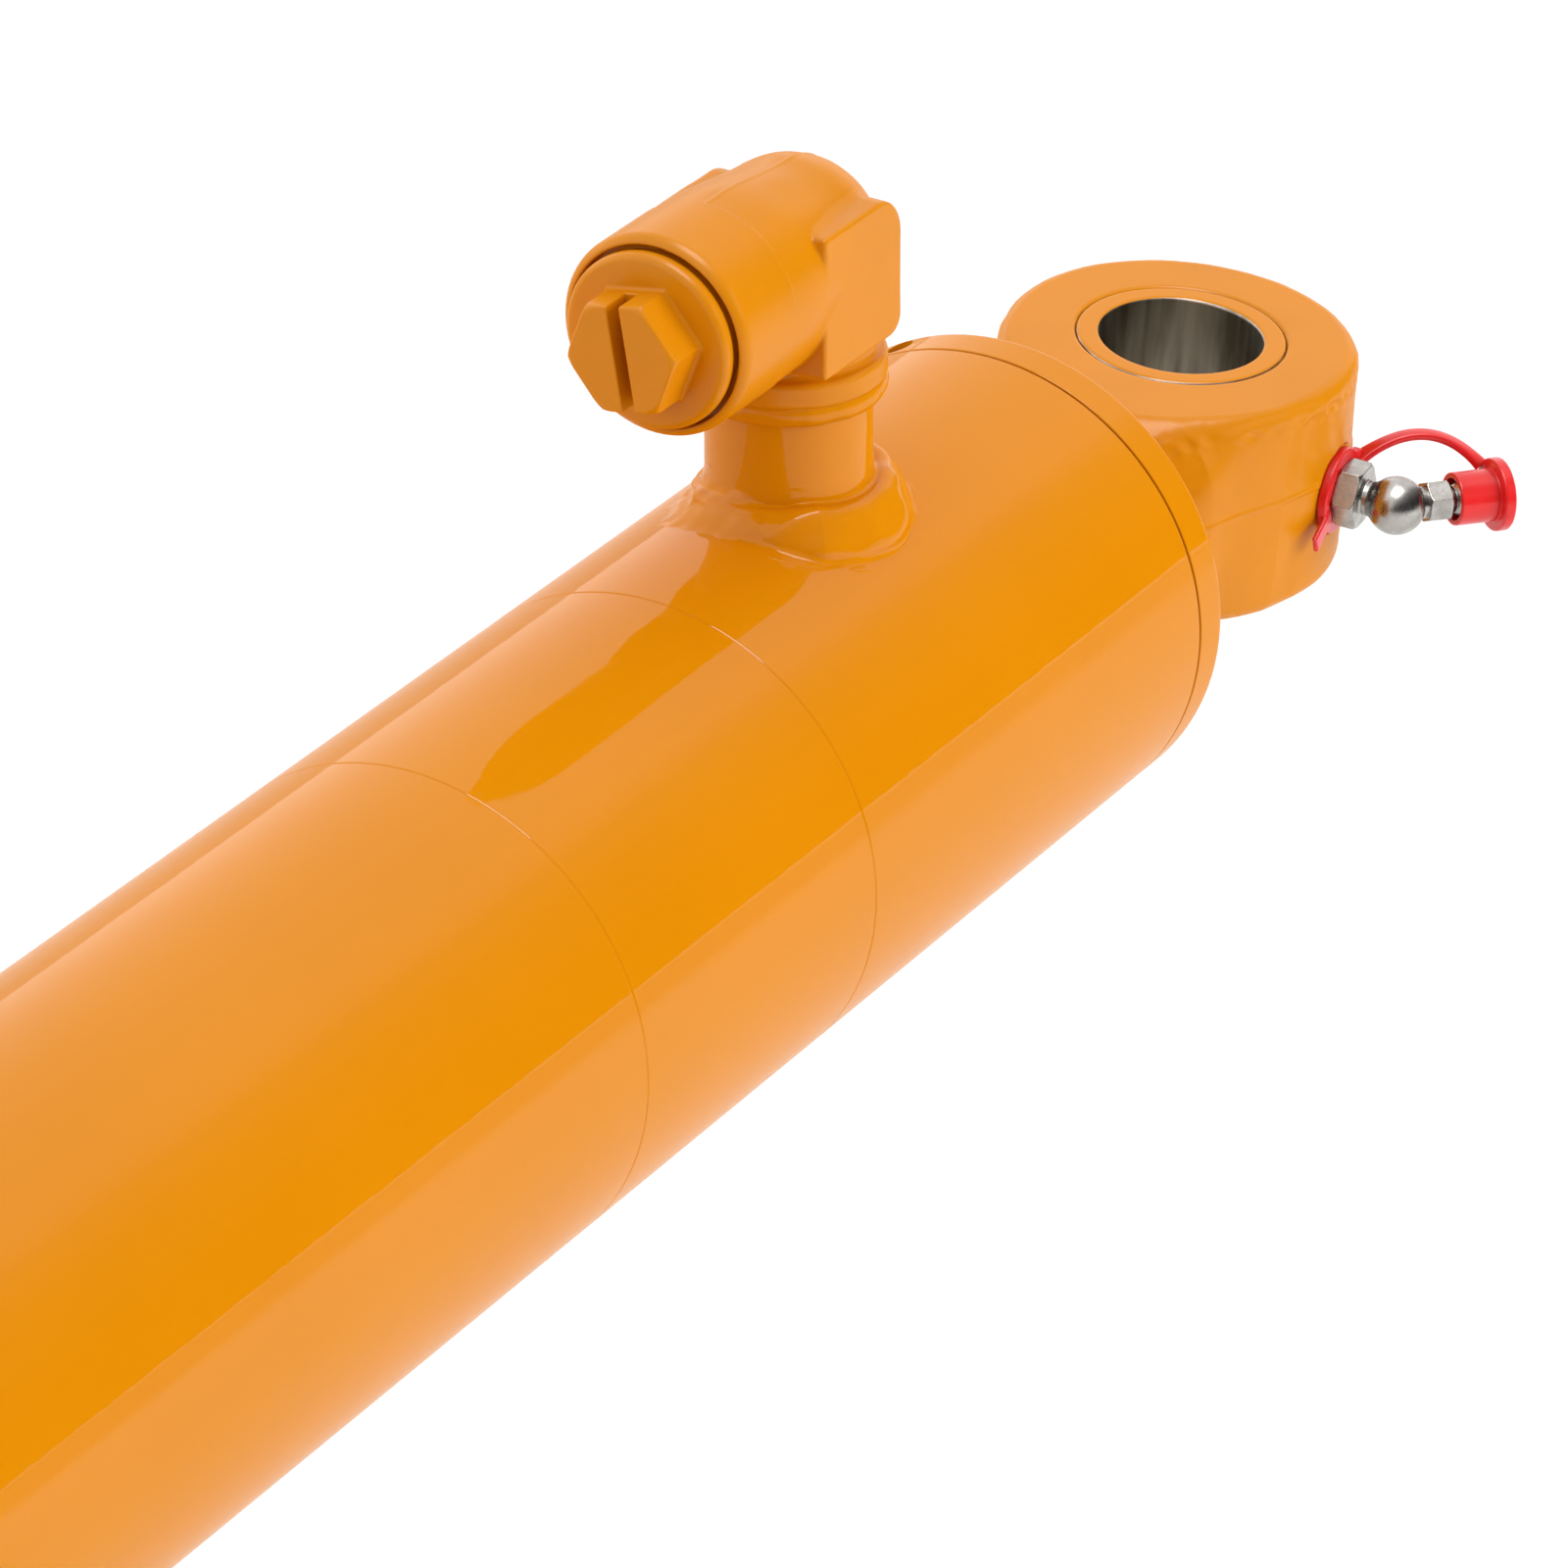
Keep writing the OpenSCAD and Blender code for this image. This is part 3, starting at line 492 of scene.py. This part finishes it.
painted("base_cap_weld", net(ring_bead(TUBE_X, BARREL_R, 4.6, 11), (56, -46, -46), (68, 46, 46), 0.42))
painted("rod_eye_weld", net(ring_bead(ROD_EYE_X - NECK, ROD_R + 0.4, 3.8, 21, 1.7),
                            (701, -23.5, -23.5), (711, 23.5, 23.5), 0.32), "rod_assembly")


def foot_bead(x, y, z):
    """The fillet weld round the base eye's foot."""
    half = 33 - FOOT_SLOPE * (CAP_X - x)
    qy, qz = np.abs(y) - half, np.abs(z) - 19.5
    out = np.hypot(np.maximum(qy, 0), np.maximum(qz, 0)) + np.minimum(np.maximum(qy, qz), 0)
    up = CAP_X - x
    around = y + z * 1.7
    ripple = 0.08 * np.sin(around * 2.3) + 0.25 * lumps(x, y, z, 9, 31)
    bead = np.hypot(out - 0.4, up - 0.4) - 4.2 - ripple
    return both(both(bead, np.hypot(y, z) - 42.5, 0.6), np.maximum(-out - 1.2, -up), 0.2)


painted("base_eye_weld", net(foot_bead, (34, -40, -27), (41, 40, 27), 0.36))


def saddle(rho, phi):
    """Height of the barrel's surface under a circle round the riser."""
    return np.sqrt(np.maximum(BARREL_R ** 2 - (rho * np.sin(phi)) ** 2, 1))


def riser_bead(x, y, z):
    """The weld round the riser's foot: a smooth flare on one side, two full passes on the other."""
    rho, phi = np.hypot(x, y), np.arctan2(y, x)
    skin = np.hypot(y, z)
    thin = np.clip(0.35 + np.cos(phi + 1.1), 0, 1)
    low = 0.3 * lumps(x, y, z * 0.3, 19, 41)
    flare = fuse(rho - RISER_R + 0.05, skin - BARREL_R + 0.05, 4.6 + 3.6 * thin + low)
    lower = np.hypot(rho - 17.5 - low, z - saddle(17.5, phi) - 0.2) - 3.3 + 2.2 * thin
    upper = np.hypot(rho - 15.7, z - saddle(15.7, phi) - 3.2 - 1.1 * np.sin(phi) ** 2) - 2.9 + 2.2 * thin
    body = fuse(flare, fuse(lower, upper, 3.2), 1.2)
    body = body - 0.22 * lumps(x, y, z, 9, 42) - 0.08 * lumps(x, y, z, 3.5, 43) * thin
    body = body - 0.6 * np.exp(-((x - 12) ** 2 + (y + 11) ** 2 + (z - 46) ** 2) / 3)
    inner = np.maximum(12.6 - rho, BARREL_R - 3.5 - skin)
    return both(body, np.maximum(inner, np.maximum(rho - 22.8, z - 52.3)), 0.15)


def collar_bead(x, y, z):
    """The weld between riser and elbow."""
    rho, phi = np.hypot(x, y), np.arctan2(y, x)
    wave = 0.13 * lumps(x, y, z, 8, 51) + 0.02 * np.sin(phi * 36)
    bead = np.hypot(rho - RISER_R - 0.1, z - RISER_TOP - 1.0) - 2.45 - wave
    return both(bead, 12.8 - rho, 0.3)


# ------------------------------------------------------------------ ports

def elbow(x, y, z):
    """The forged elbow, in the port's frame."""
    h = z - OUTLET_H
    s, b = np.hypot(x, y), np.hypot(y, h)
    grow = np.clip(x / 22, 0, 1)
    bar = b - BAR_R - 1.8 * grow * grow * (3 - 2 * grow)
    ball = np.sqrt(x * x + y * y + h * h) - BAR_R
    body = np.minimum(ball, np.maximum(bar, slab(x, 0, 30)))
    body = fuse(body, np.maximum(s - 14.8, slab(z, RISER_TOP + 1, OUTLET_H)), 2.5)
    foot = both(s - 16.7, slab(z, 67.2, 72), 1.1)
    body = fuse(body, foot, 1.2)
    body = np.minimum(body, np.maximum(s - RISER_R, slab(z, RISER_TOP, RISER_TOP + 4)))
    # two flat pads for a wrench
    px, pz = x - 3.4, z - 87.75 + np.where(y < 0, 1.0, 0.0)
    corner = np.where(px > 0, 0.8, np.where(pz > 0, 7.6, 3.5))
    qx, qz = np.abs(px) - 12.6 + corner, np.abs(pz) - 12.75 + corner
    outline = np.minimum(np.maximum(qx, qz), 0) + np.hypot(np.maximum(qx, 0), np.maximum(qz, 0)) - corner
    pad = both(outline, np.abs(y) - 16.6, 0.8)
    fillet = np.clip(1.0 + outline * 0.6, 0.02, 1.0) * np.where(px > 11, 0.5, 1)
    body = fuse(body, pad, fillet)
    # forging skin, and its flash along the top
    body = body + lumps(x, y, z, 10, 61) * 0.05
    body = body - 0.14 * np.exp(-(y / 0.4) ** 2) * np.clip((h + 12) / 6, 0, 1)
    boss = both(both(b - BOSS_R, BOSS_X - x, 0.4), x - OUTLET_REACH, 2.0)
    body = np.minimum(body, boss)
    # the groove round the plug, the plug's seat, its thread and the oil way
    body = minus(body, np.maximum(b - 15.95, OUTLET_REACH - 2.6 - x), 0.6)
    seat = np.maximum(b - 14.6, slab(x, OUTLET_REACH - 4, PLUG_SEAT - 0.02))
    body = np.minimum(body, seat)
    body = minus(body, np.maximum(b - 9.5, 27.2 - x), 0.2)
    body = minus(body, np.minimum(np.maximum(b - 7, -x), np.maximum(s - 7, h)), 0.2)
    return body


def plug(x, y, z):
    """Flanged hexagon plug, its axis along x."""
    b = np.hypot(y, z)
    body = both(b - PLUG_R, slab(x, PLUG_SEAT, PLUG_SEAT + 3.2), 1.3)
    head = both(hexagon(y, z, 18.5), slab(x, PLUG_SEAT + 1, PLUG_END), 0.45)
    head = both(head, (b - 9.9 + x - PLUG_END) * 0.707, 0.4)
    body = fuse(body, head, 0.7)
    body = minus(body, np.maximum(np.abs(y) - 1.2, PLUG_END - 6.2 - x), 0.3)
    shank = both(b - 9.4, slab(x, PLUG_SEAT - 13, PLUG_SEAT + 1), 0.8)
    return np.minimum(body, shank)


riser_form = lathe([(38, 7, 0.3), (38, RISER_R, 0.3), (RISER_TOP, RISER_R, 0.3), (RISER_TOP, 7, 0.3)], 128)
weld_form = net(riser_bead, (-23, -23, 33), (23, 23, 52.5), 0.32)
collar_form = net(collar_bead, (-18, -18, 61), (18, 18, 69), 0.28)
elbow_form = net(elbow, (-17.5, -18.5, 64.5), (44.5, 18.5, 108.5), 0.34)
plug_form = net(plug, (PLUG_SEAT - 13.5, -16, -16), (PLUG_END + 0.7, 16, 16), 0.2)

for end, x, facing, slot_turn in (("rod", ROD_PORT_X, 180, 9.5), ("base", BASE_PORT_X, 0, 26)):
    at = port_place(x, facing)
    painted(end + "_port_riser", riser_form, at=at @ turn(-90, "Y"))
    painted(end + "_port_weld", weld_form, at=at)
    painted(end + "_port_collar_weld", collar_form, at=at)
    painted(end + "_port_elbow", elbow_form, at=at, material=CAST_PAINT)
    painted(end + "_port_plug", plug_form, at=at @ place(0, 0, OUTLET_H) @ turn(slot_turn, "X"),
            material=CAST_PAINT)


# ------------------------------------------------------------------ grease fittings

def adaptor(x, y, z):
    b = np.hypot(y, z)
    start, end = RING_SEAT + 1.8, RING_SEAT + 6.2
    hexed = both(hexagon(y, z, 11), slab(x, start, end), 0.15)
    hexed = both(hexed, (b - 6.2 + np.abs(x - (start + end) / 2) - 1.8) * 0.707, 0.1)
    stem = np.maximum(b - 3.2, slab(x, start, BALL_OUT))
    ball = np.sqrt((x - BALL_OUT) ** 2 + b * b) - 5.4
    body = fuse(fuse(hexed, stem, 0.5), ball, 0.6)
    body = np.minimum(body, both(b - 4.95, slab(x, RING_SEAT - 9, start + 0.5), 0.4))
    u, w = (x - BALL_OUT) * 0.7071 + y * 0.7071, (y - x + BALL_OUT) * 0.7071
    return minus(body, np.maximum(np.hypot(w, z) - 3, 1.6 - u), 0.15)


def nipple(x, y, z):
    b = np.hypot(y, z)
    stem = np.maximum(b - 2.95, slab(x, 2, 7))
    hexed = both(hexagon(y * 0.866 - z * 0.5, y * 0.5 + z * 0.866, 7), slab(x, 5.5, 9.9), 0.1)
    hexed = both(hexed, (b - 4.0 + np.abs(x - 7.7) - 1.9) * 0.707, 0.08)
    r = np.interp(x, [9.4, 10.2, 11.2, 12, 13.2, 15.4, 16.6], [2.9, 2.4, 2.4, 3.2, 3.2, 2.3, 1.5])
    head = both((b - r) * 0.75, slab(x, 9, 16.6), 0.25)
    body = np.minimum(np.minimum(stem, hexed), head)
    return minus(body, b - 0.8, 0.1)


def seal_ring(x, y, z):
    b = np.hypot(y, z)
    ring = both(np.abs(b - 6.55) - 1.5, np.abs(x - RING_SEAT - 0.9) - 0.9, 0.45)
    c, s = math.cos(math.radians(27)), math.sin(math.radians(27))
    ty, tz = y * c + z * s, z * c - y * s
    tab = both(np.maximum(np.abs(ty + 9.6) - 3.6, np.abs(tz) - 1.8), np.abs(x - 33.95) - 0.5, 0.4)
    root = both(np.hypot(y - 6.9, z - 3.9) - 1.7, slab(x, 32.6, 34.6), 0.5)
    return fuse(fuse(ring, tab, 0.4), root, 0.6)


def cap_form():
    return lathe([
        (11.1, 3.9, 0.25), (11.1, 4.9, 0.35), (18.9, 4.9, 0.25), (18.9, 6.75, 0.45),
        (21.1, 6.75, 0.5), (21.1, 0, 0), (19.5, 0, 0), (19.5, 3.9, 0.4),
    ], 96)


def strap_form(ends=24, sides=20):
    """A flat band swept along its arch, wider at both ends."""
    a, b, c = (np.array(p) for p in ((34.2, 6.6, 3.7), (43, 16.5, 12.5), (53.9, 17.6, 3.2)))
    wide, thick = 1.4, 0.75
    points, normals = [], []
    for i in range(ends + 1):
        t = i / ends
        centre = (1 - t) ** 2 * a + 2 * t * (1 - t) * b + t * t * c
        way = 2 * (1 - t) * (b - a) + 2 * t * (c - b)
        way /= np.linalg.norm(way)
        flat = np.cross(way, (0, 0, 1))
        flat /= np.linalg.norm(flat)
        up = np.cross(flat, way)
        flare = 1 + 0.35 * abs(2 * t - 1) ** 5
        for k in range(sides):
            q = 2 * math.pi * k / sides
            cq, sq = math.cos(q), math.sin(q)
            p = flat * wide * flare * np.sign(cq) * abs(cq) ** 0.5 + up * thick * np.sign(sq) * abs(sq) ** 0.5
            n = flat * np.sign(cq) * abs(cq) ** 1.5 / wide + up * np.sign(sq) * abs(sq) ** 1.5 / thick
            points.append(centre + p)
            normals.append(n / np.linalg.norm(n))
    faces = []
    for i in range(ends):
        for k in range(sides):
            here, there, m = i * sides, (i + 1) * sides, (k + 1) % sides
            faces.append((here + k, there + k, there + m, here + m))
    faces.append(tuple(range(sides)))
    faces.append(tuple(ends * sides + k for k in range(sides))[::-1])
    return np.array(points), faces, np.array(normals)


adaptor_form = net(adaptor, (22.8, -6.6, -6.6), (50.4, 6.6, 6.6), 0.16)
nipple_form = net(nipple, (1.7, -4.3, -4.3), (16.9, 4.3, 4.3), 0.12)
ring_form = net(seal_ring, (31.9, -14.5, -9.5), (35, 9, 9), 0.16)

for end, x, side, body, cap_body in (("rod", ROD_EYE_X, 1, "rod_assembly", "rod_fitting_cap"),
                                     ("base", 0, -1, "barrel", "base_fitting_cap")):
    at, bent = fitting_place(x, side), bent_place(x, side)
    make(end + "_grease_adaptor_looks", adaptor_form, BRIGHT, body, at)
    make(end + "_grease_nipple_looks", nipple_form, BRIGHT, body, bent)
    make(end + "_grease_ring_looks", ring_form, RED, body, at)
    make(end + "_grease_cap_looks", cap_form(), RED, cap_body, bent)
    strap = make(end + "_grease_strap_looks", strap_form(), RED, body, at, ridden=False)
    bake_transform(strap)

# ------------------------------------------------------------------ inner parts keep the CAD's shape

INNER = {
    "gland_oring": ("black_rubber", RUBBER), "gland_backup_ring": ("filled_ptfe", PTFE),
    "rod_bushing": ("bronze", BRONZE), "rod_seal": ("blue_polyurethane", BLUE),
    "buffer_seal": ("green_polyurethane", GREEN), "piston": ("piston_iron", IRON),
    "piston_seal": ("filled_ptfe", PTFE), "seal_energizer": ("black_rubber", RUBBER),
    "wear_rings": ("guide_strip", STRIP), "piston_oring": ("black_rubber", RUBBER),
    "piston_nut": ("bush_steel", STEEL), "nut_set_screw": ("black_steel", BLACK),
    "rod_port_plug_oring": ("black_rubber", RUBBER), "base_port_plug_oring": ("black_rubber", RUBBER),
}
for node, (slot, material) in INNER.items():
    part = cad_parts[node]
    part.data.materials.clear()
    part.data.materials.append(material)

# ------------------------------------------------------------------ floor, light and camera

FLOOR_HALF, FLOOR_Z = 40.0, -0.36
floor_mesh = bpy.data.meshes.new("floor")
around = [(-FLOOR_HALF, -FLOOR_HALF, 0), (FLOOR_HALF, -FLOOR_HALF, 0),
          (FLOOR_HALF, FLOOR_HALF, 0), (-FLOOR_HALF, FLOOR_HALF, 0)]
floor_mesh.from_pydata(around, [], [(0, 1, 2, 3)])
floor = bpy.data.objects.new("floor", floor_mesh)
floor.location.z = FLOOR_Z
floor_mesh.materials.append(finish("pale_floor", (0.85, 0.85, 0.85), (0.84, 0.84, 0.84), (0.8, 0.9),
                                   patch=0.5, grain=0.004, bump=0.00002, level=0.1))
bpy.context.scene.collection.objects.link(floor)

# the studio's brightness by the angle round the barrel's axis, from level behind, over the top,
# to level in front
SKY_TOP = 2.1
SKY = [(0, 2.1), (10, 1.95), (22, 1.7), (46, 1.4), (70, 1.3), (94, 1.28), (106, 1.2), (118, 0.5),
       (130, 0.25), (142, 0.14), (156, 0.05), (180, 0.02)]
world = bpy.data.worlds.new("studio")
bpy.context.scene.world = world
world.use_nodes = True
nodes, links = world.node_tree.nodes, world.node_tree.links
way = nodes.new("ShaderNodeSeparateXYZ")
links.new(nodes.new("ShaderNodeTexCoord").outputs["Generated"], way.inputs["Vector"])
angle = nodes.new("ShaderNodeMath")
angle.operation = "ARCTAN2"
links.new(way.outputs["Z"], angle.inputs[0])
links.new(way.outputs["Y"], angle.inputs[1])
share = nodes.new("ShaderNodeMath")
share.operation = "DIVIDE"
share.inputs[1].default_value = math.pi
links.new(angle.outputs[0], share.inputs[0])
sky = nodes.new("ShaderNodeValToRGB")
ramp = sky.color_ramp
while len(ramp.elements) < len(SKY):
    ramp.elements.new(0.5)
for element, (degrees, light) in zip(ramp.elements, SKY):
    element.position = degrees / 180
    element.color = (light / SKY_TOP, light / SKY_TOP, light / SKY_TOP, 1)
links.new(share.outputs[0], sky.inputs["Fac"])
links.new(sky.outputs["Color"], nodes["Background"].inputs["Color"])
nodes["Background"].inputs["Strength"].default_value = SKY_TOP


def softbox(name, width, height, energy, spot, target):
    """A soft lamp at spot, turned towards target."""
    lamp = bpy.data.lights.new(name, "AREA")
    lamp.shape, lamp.size, lamp.size_y, lamp.energy = "RECTANGLE", width, height, energy
    box = bpy.data.objects.new(name, lamp)
    box.location = spot
    box.rotation_euler = (Vector(target) - box.location).to_track_quat("-Z", "Y").to_euler()
    bpy.context.scene.collection.objects.link(box)
    return box


fill = softbox("front_softbox", 2.4, 1.6, 66, (1.2, -2.4, 1.2), (0.55, 0, 0))
fill.visible_glossy = False
overhead = softbox("overhead_softbox", 1.7, 1.1, 50, (0.4, -0.1, 2.3), (0.4, -0.1, 0))
overhead.visible_diffuse = False

camera_data = bpy.data.cameras.new("camera")
camera_data.lens, camera_data.sensor_width = 200.64, 36
camera_data.clip_start, camera_data.clip_end = 0.05, 200
camera = bpy.data.objects.new("camera", camera_data)
azimuth, elevation, roll = (math.radians(v) for v in (-61.603, 29.5232, 4.648))
outward = math.cos(elevation)
back = Vector((math.sin(azimuth) * outward, -math.cos(azimuth) * outward, math.sin(elevation)))
level = Vector((math.cos(azimuth), math.sin(azimuth), 0))
steep = back.cross(level)
right = level * math.cos(roll) + steep * math.sin(roll)
up = steep * math.cos(roll) - level * math.sin(roll)
facing = Matrix((right, up, back)).transposed().to_4x4()
camera.matrix_world = Matrix.Translation((-0.53605, -0.62089, 0.7285)) @ facing
bpy.context.scene.collection.objects.link(camera)
bpy.context.scene.camera = camera
bpy.context.scene.view_settings.view_transform = "Standard"
